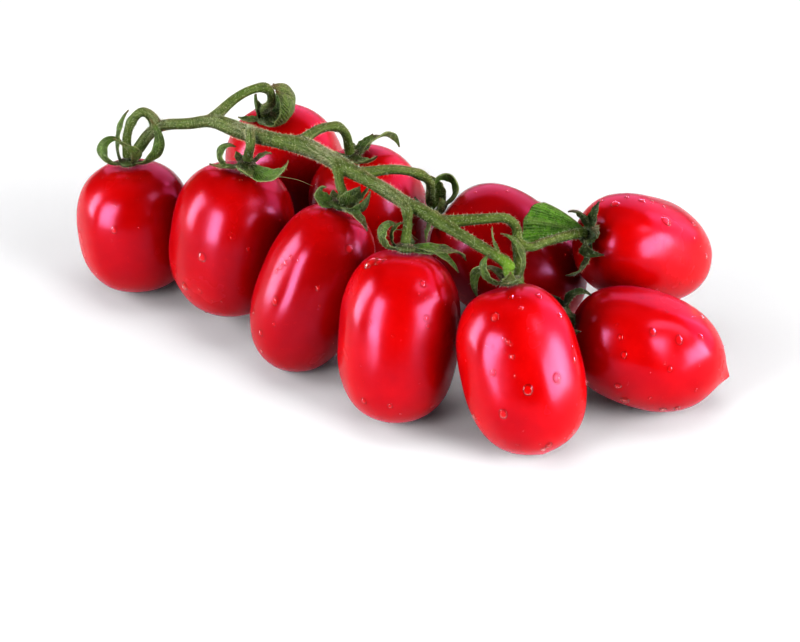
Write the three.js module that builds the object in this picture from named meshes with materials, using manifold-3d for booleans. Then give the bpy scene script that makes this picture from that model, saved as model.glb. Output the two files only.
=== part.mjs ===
// A truss of plum cherry tomatoes, as picked: ten ripe fruits, each under its green calyx, on one vine.
// Millimetres, +Z up. The main stem runs along X above the fruits, which rest on the plane Z = 0.
import * as THREE from 'three';
import { mergeVertices } from 'three/addons/utils/BufferGeometryUtils.js';
import Module from 'manifold-3d';

const wasm = await Module();
wasm.setup();

const DEGREE = Math.PI / 180;

// The places below are measured from a point under the main stem. The truss is then moved so that
// the middle of its footprint is the origin.
const FOOTPRINT_MIDDLE = [-11.3, 19.1];
const CLEARANCE = 0.3; // air between a fruit, its calyx and its stalk

// A fruit is a superellipse turned about its axis, with its own fullness in each half.
const SHOULDER_FULLNESS = 2.5;
const LOBES = 3;
const LOBE_DEPTH = 0.014; // share of the radius
const DIMPLE_DEPTH = 1.2; // hollow at the stalk end
const DIMPLE_RADIUS = 4.5;
const NIPPLE_RADIUS = 3; // small point at the blossom end
const NIPPLE_POWER = 1.3; // 2 would round it, 1 would make it a spike
const FLAT_DIP = 0.3; // how far a resting fruit is flattened by the surface
const FRUIT_SIDES = 20;
const FRUIT_RINGS = 12;
const FRUIT_COLOURS = { color: 0xd8100c, roughness: 0.22, metalness: 0 };

// A calyx is a small boss with curling, pointed sepals round it.
const BOSS_RADIUS = 2.9;
const BOSS_HEIGHT = 2.2;
const BOSS_SIDES = 10;
const BOSS_RINGS = 6;
const BOSS_LIFT = 0.6; // middle of the boss above the undimpled end of the fruit
const SEPAL_ROOT = 2.1; // where a sepal leaves the axis, sunk in the boss
const SEPAL_THICKNESS = 1.3;
const SEPAL_TIP_WIDTH = 0.6;
const ROOT_SHARE = 0.6; // root width of a sepal as a share of its full width
const FAN_ROOT_SHARE = 0.2; // the same for a fan, which is widest at its end
const FAN_REACH = 1.03; // how far a fan reaches along its middle, as a share of its length
const FAN_SLANT = 0.12; // and how much more at one side than in the middle
const FAN_ROUNDING = 0.2; // and less at both
const SEPAL_SIDES = 4;
const SEPAL_STEPS = 8;
const SLICES_PER_STEP = 4;
const CALYX_COLOURS = { color: 0x5f7a35, roughness: 0.6, metalness: 0 };

// The vine: a main stem with a thinner stalk to each fruit.
const STALK_RADIUS = 1.2;
const FOOT_SWELL = 0.7; // a stalk is this much thicker where it leaves the stem
const END_SWELL = 0.3; // and this much where it meets the calyx
const SWELL_SHARE = 0.16; // share of the stalk's length that a swelling fades over
const KNUCKLE_SWELL = 0.3; // ring halfway along, where a ripe fruit breaks off
const KNUCKLE_SHARE = 0.05;
const STALK_NECK = 1.6; // straight end of a stalk above its calyx
const STALK_SIDES = 7;
const STALK_STEPS = 12;
const STEM_SIDES = 9;
const STEM_STEPS = 36;
const VINE_COLOURS = { color: 0x56702e, roughness: 0.65, metalness: 0 };

// Main stem from its cut end to the last stalk: x, y, z and radius.
const STEM = [
  [-86.6, -4.6, 41.6, 1.7],
  [-85, -1.6, 45.4, 1.6],
  [-82, 0.4, 48.2, 1.55],
  [-73, 2.2, 51, 1.7],
  [-66.8, 4.7, 52.5, 2.3],
  [-55.3, 5.3, 52.2, 2.2],
  [-44.2, 5.7, 53, 2.05],
  [-36.3, 6.5, 53.5, 2.5],
  [-27.9, 6.5, 52.5, 2.15],
  [-18.1, 4.7, 52, 2.2],
  [-8.7, 3.1, 51.5, 1.75],
  [-0.9, 1.5, 51, 1.9],
  [7.3, 1, 50, 1.65],
  [15.9, -0.2, 49, 2],
  [24, -0.6, 47.5, 1.5],
  [31.3, -0.8, 46, 1.5],
  [33.6, -0.4, 45, 1.4],
];

// One entry for each fruit.
//   at: its middle in plan; lift: its lowest point above the surface, 0 where it rests on it
//   heading, lean: which way its stalk end leans and how far from upright, in degrees
//   fullness: how square its blossom half is; nipple: length of the point at its blossom end
//   turn: where its first lobe is
//   stalk: points from the stem, or from another stalk, to just above the calyx
//   aside: which way and how far its calyx sits off its axis, if it does
//   sepals: heading, length, rise, curl, sway, width, twist, late and roll of each, as sepalLine reads them
//   fan: the one sepal, if any, that widens to its end
const FRUITS = [
  {
    at: [-86.6, -7.6], lift: 0, heading: 150, lean: 8, length: 37, width: 32.6,
    fullness: 2.5, nipple: 0.8, turn: 20,
    stalk: [[-83.4, 0.3, 47.8], [-85, -0.4, 51], [-86.6, -1.9, 52.2], [-88.4, -4, 50], [-89.6, -5.4, 45]],
    sepals: [
      [238, 16, -3, 240, 0, 3.6, 80, 1.2],
      [350, 18, 38, 5, -125, 3.2, 40],
      [216, 16.5, 74, 62, 0, 2.6, 60],
      [12, 19.8, -5, 145, -10, 3.8, -80],
      [110, 5, 10, 30, 0, 3.2, 0],
    ],
  },
  {
    at: [-53.4, -4.7], lift: 2.7, heading: 79, lean: 11, length: 42.5, width: 34,
    fullness: 2.5, nipple: 0.8, turn: 70, aside: [36, 1.5],
    stalk: [[-54.8, 6.1, 52.8], [-52, 2.8, 54], [-50.2, 0.6, 52]],
    sepals: [
      [235, 14.5, -25, 235, -30, 3.4, 60, 1.2],
      [-25, 19.5, 2, 85, 25, 4.8, 10, 2, 40],
      [251, 13, 0, 30, 30, 2.6, 0],
      [91, 11, 30, -60, 13, 1.6, 0],
      [295, 11, 5, 10, 50, 5, -30],
      [160, 4.5, 5, 40, 0, 3.2, 0],
    ],
  },
  {
    at: [-21.8, -9.9], lift: 0, heading: 65, lean: 25, length: 47, width: 29,
    fullness: 2.4, nipple: 1, turn: 15, aside: [216, 1.6],
    stalk: [[-30, 6.8, 52.8], [-24.8, 4.8, 53], [-21.8, 2.4, 51.4], [-20, 0.6, 49.6]],
    sepals: [
      [235, 8.5, -5, 200, -20, 4.6, 0, 2, -45],
      [345, 13, 0, 105, -10, 2.8, -60],
      [60, 9, 30, 60, 20, 2, 0],
      [330, 16, 15, -40, 5, 3.4, 30, 2],
      [340, 8.5, 58, 25, 0, 5.6, 0, 1, -20],
      [150, 4.5, 5, 40, 0, 3.2, 0],
    ],
  },
  {
    at: [10.5, -15.1], lift: 0, heading: 112, lean: 18, length: 45, width: 31.5,
    fullness: 2.6, nipple: 0.8, turn: 40,
    stalk: [[-3.2, 2.2, 51], [2.2, -0.6, 50.8], [5.8, -4.6, 49]],
    sepals: [
      [228, 13, -18, 215, -45, 4.6, 80],
      [33, 17.5, 0, -55, 62, 4, -60, 3, 50],
      [205, 9, 30, 150, 20, 1.6, 60],
      [35, 14, 8, -60, -30, 2.8, 40],
      [110, 4.5, 10, 30, 0, 3, 0],
    ],
  },
  {
    at: [44.1, -8.3], lift: 0, heading: 156, lean: 29, length: 43.5, width: 31.2,
    fullness: 2.5, nipple: 1, turn: 5, aside: [36, 2.6],
    stalk: [[33, -0.4, 45.2], [35.2, -1.2, 45]],
    sepals: [
      [220, 11.5, 0, 165, -10, 3.6, 70],
      [175, 18, 75, -190, -10, 3.8, 40],
      [30, 15, 40, 120, 0, 2.4, -80],
      [128, 15, 62, 50, 90, 1.8, 0, 2],
      [300, 10, 5, 30, 20, 3.4, 0],
    ],
  },
  {
    at: [-67, 37.3], lift: 0, heading: 258, lean: 19, length: 43, width: 34.4,
    fullness: 2.5, nipple: 0.8, turn: 50,
    stalk: [
      [-67.6, 5, 52.4], [-65.3, 13.2, 56.6], [-63.2, 17.7, 58], [-61.8, 21.2, 57.6],
      [-61.6, 23.7, 55], [-63.3, 25.8, 50.5],
    ],
    sepals: [
      [345, 20.7, 0, 130, 55, 7.5, -40],
      [15, 21.5, -4, 175, 52, 7, -40],
      [185, 9.5, 72, 55, 0, 4, 60],
      [80, 12, 0, 140, -16, 5, 0],
      [205, 7, -10, 30, -16, 2.6, 0],
      [150, 5, 0, 40, 0, 3.4, 0],
    ],
  },
  {
    at: [-31.5, 30], lift: 0, heading: 245, lean: 16, length: 43.5, width: 33,
    fullness: 2.5, nipple: 0.8, turn: 80,
    stalk: [[-38.6, 7, 53.6], [-36.2, 13, 56], [-34.2, 18.4, 55], [-34, 21.8, 51.2]],
    sepals: [
      [75, 7, 0, 50, -5, 4.8, 0],
      [45, 18, 52, -150, 60, 3.6, -60],
      [200, 9, 5, 20, -3, 3, 0],
      [340, 11, 5, 40, 30, 3.8, -40],
      [130, 4.5, 0, 40, 0, 3.2, 0],
    ],
  },
  {
    at: [10.2, 36.8], lift: 0, heading: 197, lean: 54, length: 45.5, width: 34.4,
    fullness: 2.3, nipple: 1, turn: 30, aside: [250, 1.8],
    stalk: [[-16.9, 4.9, 52], [-11.8, 12.6, 51.6], [-8.7, 19.2, 48.6], [-7.5, 23.6, 44.6]],
    sepals: [
      [50, 17, -24, 270, 20, 3.8, 60, 1.3],
      [200, 8, 60, 60, 20, 2.6, 0],
      [241, 9, 40, 90, 0, 3.4, 40],
      [299, 14, 5, -24, -4, 3, 0],
      [105, 10, 25, 60, 0, 6.5, 0],
      [345, 9, 0, 40, 0, 3, 0],
    ],
  },
  {
    at: [44, 50.9], lift: 11, heading: 250, lean: 61, length: 43, width: 29,
    fullness: 2.2, nipple: 1.6, turn: 10,
    stalk: [
      [13.2, 1, 49.2], [20.5, 6.7, 50], [25.3, 12.4, 49], [27.6, 13.2, 46.5],
      [29.6, 10.9, 44], [32.3, 12.5, 43], [33.5, 17.6, 42.5],
    ],
    sepals: [
      [70, 8, 40, -60, 30, 3.4, 0],
      [314, 14, 70, -97, 70, 3.4, 0],
      [302, 15, -4, 92, -24, 3.4, 40],
      [105, 10, 30, 90, -19, 3.4, 0],
      [20, 9, 15, 80, 0, 3.6, 0],
    ],
    fan: [177, 16, 39, -15, 21, 17, 0],
  },
  {
    at: [61.1, 25], lift: 0, heading: 214, lean: 70, length: 41.5, width: 30.8,
    fullness: 2.2, nipple: 3, turn: 35,
    stalk: [[29.8, 11, 44], [30.4, 10.2, 39], [31, 10, 33], [35.6, 9.4, 27]],
    sepals: [
      [80, 12, 70, -190, 5, 3.4, 40],
      [190, 11, 30, -90, -30, 3, 0],
      [334, 10, 20, -50, 60, 3.4, 0],
      [30, 8, 20, 80, 0, 3.2, 0],
      [140, 9, 15, 60, 0, 3.2, 0],
    ],
  },
];

// Move every point of a geometry by a rule.
function reshape(geometry, move) {
  const position = geometry.attributes.position;
  const point = new THREE.Vector3();
  for (let index = 0; index < position.count; index += 1) {
    point.fromBufferAttribute(position, index);
    move(point);
    position.setXYZ(index, point.x, point.y, point.z);
  }
  return geometry;
}

function toSolid(geometry) {
  const bare = geometry.clone();
  bare.deleteAttribute('normal');
  bare.deleteAttribute('uv');
  const merged = mergeVertices(bare);
  return new wasm.Manifold(new wasm.Mesh({
    numProp: 3,
    vertProperties: Float32Array.from(merged.attributes.position.array),
    triVerts: Uint32Array.from(merged.index.array),
  }));
}

function joined(geometries) {
  return geometries.map(toSolid).reduce((whole, piece) => whole.add(piece));
}

function toMesh(solid, name, colours) {
  const { vertProperties, triVerts } = solid.getMesh();
  const geometry = new THREE.BufferGeometry();
  geometry.setAttribute('position', new THREE.BufferAttribute(vertProperties, 3));
  geometry.setIndex(new THREE.BufferAttribute(triVerts, 1));
  geometry.computeVertexNormals();
  const mesh = new THREE.Mesh(geometry, new THREE.MeshStandardMaterial(colours));
  mesh.name = name;
  return mesh;
}

// The fruit's skin about its own axis, +Z to the stalk end.
function fruitSkin({ length, width, fullness, turn, nipple }) {
  const skin = new THREE.SphereGeometry(1, FRUIT_SIDES, FRUIT_RINGS);
  skin.rotateX(Math.PI / 2);
  return reshape(skin, (point) => {
    const shoulder = point.z > 0;
    const power = 2 / (shoulder ? SHOULDER_FULLNESS : fullness);
    const around = Math.atan2(point.y, point.x);
    const lobe = 1 + LOBE_DEPTH * Math.cos(LOBES * (around - turn * DEGREE));
    const radius = (width / 2) * lobe * Math.hypot(point.x, point.y) ** power;
    const height = (length / 2) * Math.sign(point.z) * Math.abs(point.z) ** power;
    const dimple = shoulder ? DIMPLE_DEPTH * Math.exp(-((radius / DIMPLE_RADIUS) ** 2)) : 0;
    const tip = shoulder ? 0 : nipple * Math.exp(-((radius / NIPPLE_RADIUS) ** NIPPLE_POWER));
    point.set(radius * Math.cos(around), radius * Math.sin(around), height - dimple - tip);
  });
}

// Directions of a fruit: its axis to the stalk end, and the east and north of its calyx.
function directions({ heading, lean }) {
  const axis = new THREE.Vector3(
    Math.sin(lean * DEGREE) * Math.cos(heading * DEGREE),
    Math.sin(lean * DEGREE) * Math.sin(heading * DEGREE),
    Math.cos(lean * DEGREE),
  );
  const east = new THREE.Vector3(1, 0, 0).projectOnPlane(axis).normalize();
  const north = axis.clone().cross(east);
  return { axis, east, north };
}

// Turn a fruit's skin, set it down and flatten what would dip below the surface.
function makeFruit(fruit, name) {
  const { axis, east, north } = directions(fruit);
  const skin = fruitSkin(fruit);
  skin.applyMatrix4(new THREE.Matrix4().makeBasis(east, north, axis));
  skin.computeBoundingBox();
  const lowest = fruit.lift > 0 ? fruit.lift : -FLAT_DIP;
  const centre = new THREE.Vector3(...fruit.at, lowest - skin.boundingBox.min.z);
  skin.translate(centre.x, centre.y, centre.z);
  const below = new THREE.BoxGeometry(2 * fruit.length, 2 * fruit.length, fruit.length);
  below.translate(centre.x, centre.y, -fruit.length / 2);
  const solid = toSolid(skin).subtract(toSolid(below));
  const [turn, distance] = fruit.aside ?? [0, 0];
  const seat = centre.clone().addScaledVector(axis, fruit.length / 2 + BOSS_LIFT);
  seat.addScaledVector(east, distance * Math.cos(turn * DEGREE));
  seat.addScaledVector(north, distance * Math.sin(turn * DEGREE));
  return { mesh: toMesh(solid, name, FRUIT_COLOURS), frame: { seat, axis, east, north } };
}

// The midrib of a sepal, step by step from its root. It leaves the axis towards heading, climbing
// at rise degrees and rolled by roll. Over its length it bends up by curl, turns round the axis by
// sway and rolls on by twist. A late above 1 keeps it straight at first.
function sepalLine({ seat, axis, east, north }, row) {
  const [heading, length, rise, curl, sway, , twist, late = 1, roll = 0] = row;
  const outward = (turn) => (
    east.clone().multiplyScalar(Math.cos(turn)).addScaledVector(north, Math.sin(turn))
  );
  const slices = SEPAL_STEPS * SLICES_PER_STEP;
  const point = seat.clone().addScaledVector(outward(heading * DEGREE), SEPAL_ROOT);
  const line = [];
  for (let slice = 0; slice <= slices; slice += 1) {
    const share = slice / slices;
    const slope = (rise + curl * share ** late) * DEGREE;
    const out = outward((heading + sway * share) * DEGREE);
    const along = out.clone().multiplyScalar(Math.cos(slope)).addScaledVector(axis, Math.sin(slope));
    const across = axis.clone().cross(out).applyAxisAngle(along, (roll + twist * share) * DEGREE);
    if (slice % SLICES_PER_STEP === 0) {
      line.push({ middle: point.clone(), across, face: across.clone().cross(along) });
    }
    point.addScaledVector(along, length / slices);
  }
  return line;
}

// A sepal is a blade with sharp edges, widest a third of the way along and pointed at its tip.
function leafWidth(share, width) {
  const root = Math.asin(ROOT_SHARE);
  return width * Math.sin(root + (Math.PI - root) * share);
}

function fanWidth(share, width) {
  return width * (FAN_ROOT_SHARE + (1 - FAN_ROOT_SHARE) * share);
}

// A fan reaches less far at its sides, so that its end is a slanted curve.
function fanReach(side) {
  return FAN_REACH + FAN_SLANT * side - FAN_ROUNDING * side ** 2;
}

function sepal(frame, row, widthAt, reachAt = () => 1) {
  const line = sepalLine(frame, row);
  const root = line[0].middle;
  const width = row[5];
  return reshape(new THREE.CylinderGeometry(1, 1, 1, SEPAL_SIDES, SEPAL_STEPS), (point) => {
    const step = Math.round((0.5 - point.y) * SEPAL_STEPS);
    const { middle, across, face } = line[step];
    const wide = Math.max(SEPAL_TIP_WIDTH, widthAt(step / SEPAL_STEPS, width));
    const sideways = point.z * wide / 2;
    const through = point.x * SEPAL_THICKNESS / 2;
    const side = point.z;
    point.copy(middle).addScaledVector(across, sideways).addScaledVector(face, through);
    point.sub(root).multiplyScalar(reachAt(side)).add(root);
  });
}

function makeCalyx({ sepals, fan }, frame, name) {
  const boss = new THREE.SphereGeometry(1, BOSS_SIDES, BOSS_RINGS);
  boss.rotateX(Math.PI / 2);
  boss.scale(BOSS_RADIUS, BOSS_RADIUS, BOSS_HEIGHT / 2);
  boss.applyMatrix4(new THREE.Matrix4().makeBasis(frame.east, frame.north, frame.axis));
  boss.translate(frame.seat.x, frame.seat.y, frame.seat.z);
  const blades = sepals.map((row) => sepal(frame, row, leafWidth));
  if (fan) {
    blades.push(sepal(frame, fan, fanWidth, fanReach));
  }
  return toMesh(joined([boss, ...blades]), name, CALYX_COLOURS);
}

// A rod of changing radius along a smooth line through points.
function rodAlong(points, radiusAt, sides, steps) {
  const path = new THREE.CatmullRomCurve3(points, false, 'centripetal');
  const { normals, binormals } = path.computeFrenetFrames(steps, false);
  return reshape(new THREE.CylinderGeometry(1, 1, 1, sides, steps), (point) => {
    const step = Math.round((0.5 - point.y) * steps);
    const radius = radiusAt(step / steps);
    const sideways = point.x * radius;
    const upwards = point.z * radius;
    path.getPointAt(step / steps, point);
    point.addScaledVector(normals[step], sideways).addScaledVector(binormals[step], upwards);
  });
}

function stemRadius(share) {
  const place = share * (STEM.length - 1);
  const row = Math.min(Math.floor(place), STEM.length - 2);
  return THREE.MathUtils.lerp(STEM[row][3], STEM[row + 1][3], place - row);
}

function stalkRadius(share) {
  const foot = FOOT_SWELL * Math.exp(-share / SWELL_SHARE);
  const end = END_SWELL * Math.exp((share - 1) / SWELL_SHARE);
  const knuckle = KNUCKLE_SWELL * Math.exp(-(((share - 0.5) / KNUCKLE_SHARE) ** 2));
  return STALK_RADIUS + foot + end + knuckle;
}

function makeVine(frames) {
  const stemPoints = STEM.map(([x, y, z]) => new THREE.Vector3(x, y, z));
  const rods = [rodAlong(stemPoints, stemRadius, STEM_SIDES, STEM_STEPS)];
  FRUITS.forEach(({ stalk }, index) => {
    const { seat, axis } = frames[index];
    const top = BOSS_HEIGHT / 2 + CLEARANCE;
    const points = stalk.map((place) => new THREE.Vector3(...place));
    points.push(seat.clone().addScaledVector(axis, top + STALK_NECK));
    points.push(seat.clone().addScaledVector(axis, top));
    rods.push(rodAlong(points, stalkRadius, STALK_SIDES, STALK_STEPS));
  });
  return toMesh(joined(rods), 'vine', VINE_COLOURS);
}

const truss = new THREE.Group();
truss.position.set(-FOOTPRINT_MIDDLE[0], -FOOTPRINT_MIDDLE[1], 0);
const frames = FRUITS.map((fruit, index) => {
  const number = String(index + 1).padStart(2, '0');
  const { mesh, frame } = makeFruit(fruit, `tomato_${number}`);
  truss.add(mesh, makeCalyx(fruit, frame, `calyx_${number}`));
  return frame;
});
truss.add(makeVine(frames));

export default truss;
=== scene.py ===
"""Truss of plum cherry tomatoes, as picked: ripe wet fruits under green calyces on one hairy vine.

Metres, in the frame of the solids. Rows of places and sizes are in millimetres and degrees."""
import math
import random

import bmesh
import bpy
from mathutils import Matrix, Quaternion, Vector, noise
from mathutils.bvhtree import BVHTree
from mathutils.kdtree import KDTree


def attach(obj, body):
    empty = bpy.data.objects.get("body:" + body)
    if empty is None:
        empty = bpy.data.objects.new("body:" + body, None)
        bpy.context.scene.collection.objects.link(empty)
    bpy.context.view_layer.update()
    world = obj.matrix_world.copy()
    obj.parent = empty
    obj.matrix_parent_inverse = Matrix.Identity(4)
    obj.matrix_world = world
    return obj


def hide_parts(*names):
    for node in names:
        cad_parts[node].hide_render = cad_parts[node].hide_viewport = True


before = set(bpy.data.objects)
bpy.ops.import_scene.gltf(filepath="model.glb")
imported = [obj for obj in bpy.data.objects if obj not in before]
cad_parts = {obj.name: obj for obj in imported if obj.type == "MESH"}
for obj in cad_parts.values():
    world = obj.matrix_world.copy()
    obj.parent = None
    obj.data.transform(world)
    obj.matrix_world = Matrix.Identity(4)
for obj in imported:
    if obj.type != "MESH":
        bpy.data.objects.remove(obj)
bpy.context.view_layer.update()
bpy.ops.object.select_all(action="DESELECT")


# The fruits. Each is one ripe berry under a thin, taut, waxy skin. They grew on the truss, faintly lobed
# and creased lengthwise, and each that rests on the surface has a small flat where it is pressed.
MM = 0.001
FOOTPRINT_MIDDLE = Vector((-11.3, 19.1, 0))  # the rows are measured from a point under the main stem
SHOULDER_FULLNESS = 2.5
LOBES = 3
LOBE_DEPTH = 0.014
DIMPLE_DEPTH = 1.2
DIMPLE_RADIUS = 4.5
NIPPLE_RADIUS = 3
NIPPLE_POWER = 1.3
FLAT_DIP = 0.3
FRUIT_SIDES = 96
FRUIT_RINGS = 72
CREASES = ((5, 0.006), (7, 0.006), (11, 0.003))  # how many round the fruit, and share of the radius
DENT_SPAN = 11  # wide, shallow unevenness of the skin
DENT_DEPTH = 0.22
DENT_SHIFT = 17  # how far apart the fruits are in that pattern, so that no two are alike

# x, y, lift, heading and lean of the stalk end, length, width, fullness, nipple, turn of the first lobe
FRUITS = {
    "01": (-86.6, -7.6, 0, 150, 8, 37, 32.6, 2.5, 0.8, 20),
    "02": (-53.4, -4.7, 2.7, 79, 11, 42.5, 34, 2.5, 0.8, 70),
    "03": (-21.8, -9.9, 0, 65, 25, 47, 29, 2.4, 1, 15),
    "04": (10.5, -15.1, 0, 112, 18, 45, 31.5, 2.6, 0.8, 40),
    "05": (44.1, -8.3, 0, 156, 29, 43.5, 31.2, 2.5, 1, 5),
    "06": (-67, 37.3, 0, 258, 19, 43, 34.4, 2.5, 0.8, 50),
    "07": (-31.5, 30, 0, 245, 16, 43.5, 33, 2.5, 0.8, 80),
    "08": (10.2, 36.8, 0, 197, 54, 45.5, 34.4, 2.3, 1, 30),
    "09": (44, 50.9, 11, 250, 61, 43, 29, 2.2, 1.6, 10),
    "10": (61.1, 25, 0, 214, 70, 41.5, 30.8, 2.2, 3, 35),
}
BOSS_LIFT = 0.6  # middle of the calyx above the end of the fruit
SHADED_FRUITS = {"01": 0.2, "02": 0.4, "03": 0.5, "08": 0.9}  # fruits drawn a deeper red, as painted shade
BLUSHES = {"10": (112, 66)}  # an unripe spot: degrees from the stalk end, and round the axis
BLUSH_SPAN = 2.2
BLUSH_PATCH = 1.6  # size of the cells that make the spot patchy
BLUSH_SHARE = 0.7
PRESSED = {"10": (94, 17)}  # a place that is pressed in: the same two angles
PRESS_SPAN = 5.2
PRESS_DEPTH = 0.95
# calyces that sit off the axis: degrees from its east, and how far
ASIDE = {"02": (36, 1.5), "03": (216, 1.6), "05": (36, 2.6), "08": (250, 1.8)}


def linear(colour):
    """An sRGB hex colour as the linear RGBA of a shader socket."""
    channels = [int(colour[at:at + 2], 16) / 255 for at in (0, 2, 4)]
    return (*[c / 12.92 if c <= 0.04045 else ((c + 0.055) / 1.055) ** 2.4 for c in channels], 1)


def add_node(material, kind, settings=None, links=None):
    """A new node of a material, with its properties or socket values, and its inputs linked to outputs."""
    node = material.node_tree.nodes.new(kind)
    for key, value in (settings or {}).items():
        if isinstance(key, str) and hasattr(node, key):
            setattr(node, key, value)
        else:
            node.inputs[key].default_value = value
    for key, output in (links or {}).items():
        material.node_tree.links.new(output, node.inputs[key])
    return node


def new_material(name):
    """An empty material with its surface shader and its Object coordinates."""
    material = bpy.data.materials.new(name)
    material.use_nodes = True
    shader = material.node_tree.nodes["Principled BSDF"]
    place = add_node(material, "ShaderNodeTexCoord").outputs["Object"]
    return material, shader, place


def link(material, output, shader, socket):
    """Feed one socket of a shader from an output."""
    material.node_tree.links.new(output, shader.inputs[socket])


# Tomato skin: smooth cuticle over red flesh. The eye sees a deep clear red, a little uneven in tone, with
# reflections that turn rose where they lie over the red. It is dull in the hollow at the stalk.
skin, skin_shader, skin_place = new_material("tomato_skin")
BLOTCH = 12 * MM
FLECK = 0.8 * MM  # the finest speckle, drawn as coarse as it needs to show
TINT_HELD_BACK = 0.85  # share of the red light thrown on the paper and its neighbours that is left out
blotches = add_node(skin, "ShaderNodeTexNoise", {"Scale": 1 / BLOTCH, "Detail": 3}, {"Vector": skin_place})
flecks = add_node(skin, "ShaderNodeTexNoise", {"Scale": 1 / FLECK, "Detail": 2}, {"Vector": skin_place})
stalkward, riper, blush = (
    add_node(skin, "ShaderNodeAttribute", {"attribute_name": name}).outputs["Fac"]
    for name in ("stalkward", "riper", "blush")
)
blotch_share = add_node(
    skin, "ShaderNodeMapRange", {"From Min": 0.35, "From Max": 0.65}, {"Value": blotches.outputs["Fac"]})
fleck_share = add_node(
    skin, "ShaderNodeMapRange", {"From Min": 0.66, "From Max": 0.74, "To Max": 0.25},
    {"Value": flecks.outputs["Fac"]})
shoulder_share = add_node(
    skin, "ShaderNodeMapRange", {"From Min": 0.82, "From Max": 1.0, "To Max": 0.5}, {"Value": stalkward})
scattered = add_node(skin, "ShaderNodeLightPath").outputs["Is Diffuse Ray"]
tint_share = add_node(skin, "ShaderNodeMath", {"operation": "MULTIPLY", 1: TINT_HELD_BACK}, {0: scattered})
red = add_node(
    skin, "ShaderNodeMix", {"data_type": "RGBA", 6: linear("ac0200"), 7: linear("bc0500")},
    {0: blotch_share.outputs["Result"]}).outputs[2]
for share, tone in (
    # a deeper red for some fruits: painted shade
    (riper, "960100"),
    (fleck_share.outputs["Result"], "d4200a"),
    (shoulder_share.outputs["Result"], "ac0c02"),
    (blush, "d85408"),
    (tint_share.outputs[0], "2a2828"),
):
    red = add_node(
        skin, "ShaderNodeMix", {"data_type": "RGBA", 7: linear(tone)}, {0: share, 6: red}).outputs[2]
link(skin, red, skin_shader, "Base Color")
gloss = add_node(
    skin, "ShaderNodeMapRange", {"From Min": 0.3, "From Max": 0.7, "To Min": 0.19, "To Max": 0.29},
    {"Value": blotches.outputs["Fac"]})
link(skin, gloss.outputs["Result"], skin_shader, "Roughness")
dusty = add_node(
    skin, "ShaderNodeMapRange", {"From Min": 0.9, "From Max": 0.99, "To Min": 0.4, "To Max": 0.05},
    {"Value": stalkward})
link(skin, dusty.outputs["Result"], skin_shader, "Specular IOR Level")
skin_shader.inputs["IOR"].default_value = 1.5
skin_shader.inputs["Specular Tint"].default_value = linear("f0c0ff")
skin_shader.inputs["Sheen Weight"].default_value = 0.16
skin_shader.inputs["Sheen Roughness"].default_value = 0.35
skin_shader.inputs["Sheen Tint"].default_value = linear("ff5aa0")
skin_shader.inputs["Subsurface Weight"].default_value = 0.08
skin_shader.inputs["Subsurface Radius"].default_value = (1, 0.12, 0.05)
skin_shader.inputs["Subsurface Scale"].default_value = 2.5 * MM


BALL_SEAM = 0.01  # radians before the first column of points, where the count round a ring begins
RING_RANK = 10000  # makes the least step between two rings more than a whole turn


def ball_rank(place):
    """A number that ranks the points of a unit ball ring by ring, and then round each ring."""
    around = (math.atan2(place.y, place.x) + BALL_SEAM) % math.tau
    return RING_RANK * round(place.z, 5) + around


def add_ball(sides, rings):
    """A unit ball with its points and faces in one fixed order. Blender's own order changes between runs."""
    bpy.ops.mesh.primitive_uv_sphere_add(segments=sides, ring_count=rings, radius=1)
    ball = bpy.context.object
    cells = bmesh.new()
    cells.from_mesh(ball.data)
    cells.verts.sort(key=lambda point: ball_rank(point.co))
    cells.faces.sort(key=lambda face: ball_rank(face.calc_center_median()))
    cells.to_mesh(ball.data)
    cells.free()
    return ball


def add_values(mesh, **kinds):
    """New attributes on a mesh's points, by name and kind. Their values are returned in that order."""
    for name, kind in kinds.items():
        mesh.attributes.new(name, kind, "POINT")
    return [mesh.attributes[name].data for name in kinds]


def pointing(heading, lean):
    """The way at a heading round the upright and a lean away from it, both in degrees."""
    heading, lean = math.radians(heading), math.radians(lean)
    return Vector((
        math.sin(lean) * math.cos(heading),
        math.sin(lean) * math.sin(heading),
        math.cos(lean),
    ))


def fruit_directions(heading, lean):
    """The axis of a fruit to its stalk end, and the east and north of its calyx."""
    axis = pointing(heading, lean)
    east = Vector((1, 0, 0))
    east = (east - axis * east.dot(axis)).normalized()
    return axis, east, axis.cross(east)


def skin_point(direction, length, width, fullness, nipple, turn, phases):
    """Where a point of a unit sphere lies on the fruit's skin, in millimetres about the fruit's own axis."""
    shoulder = direction.z > 0
    power = 2 / (SHOULDER_FULLNESS if shoulder else fullness)
    around = math.atan2(direction.y, direction.x)
    round_share = math.hypot(direction.x, direction.y)
    radius = width / 2 * round_share ** power
    radius *= 1 + LOBE_DEPTH * math.cos(LOBES * (around - math.radians(turn)))
    for (count, depth), phase in zip(CREASES, phases):
        radius *= 1 + depth * round_share ** 2 * math.cos(count * around + phase)
    height = length / 2 * math.copysign(abs(direction.z) ** power, direction.z)
    if shoulder:
        height -= DIMPLE_DEPTH * math.exp(-(radius / DIMPLE_RADIUS) ** 2)
    else:
        height -= nipple * math.exp(-(radius / NIPPLE_RADIUS) ** NIPPLE_POWER)
    return Vector((radius * math.cos(around), radius * math.sin(around), height))


def skin_spot(angles, shape):
    """The point of a fruit's skin at an angle from the stalk end and an angle round the axis."""
    fall, around = angles
    return skin_point(pointing(around, fall), *shape)


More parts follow.
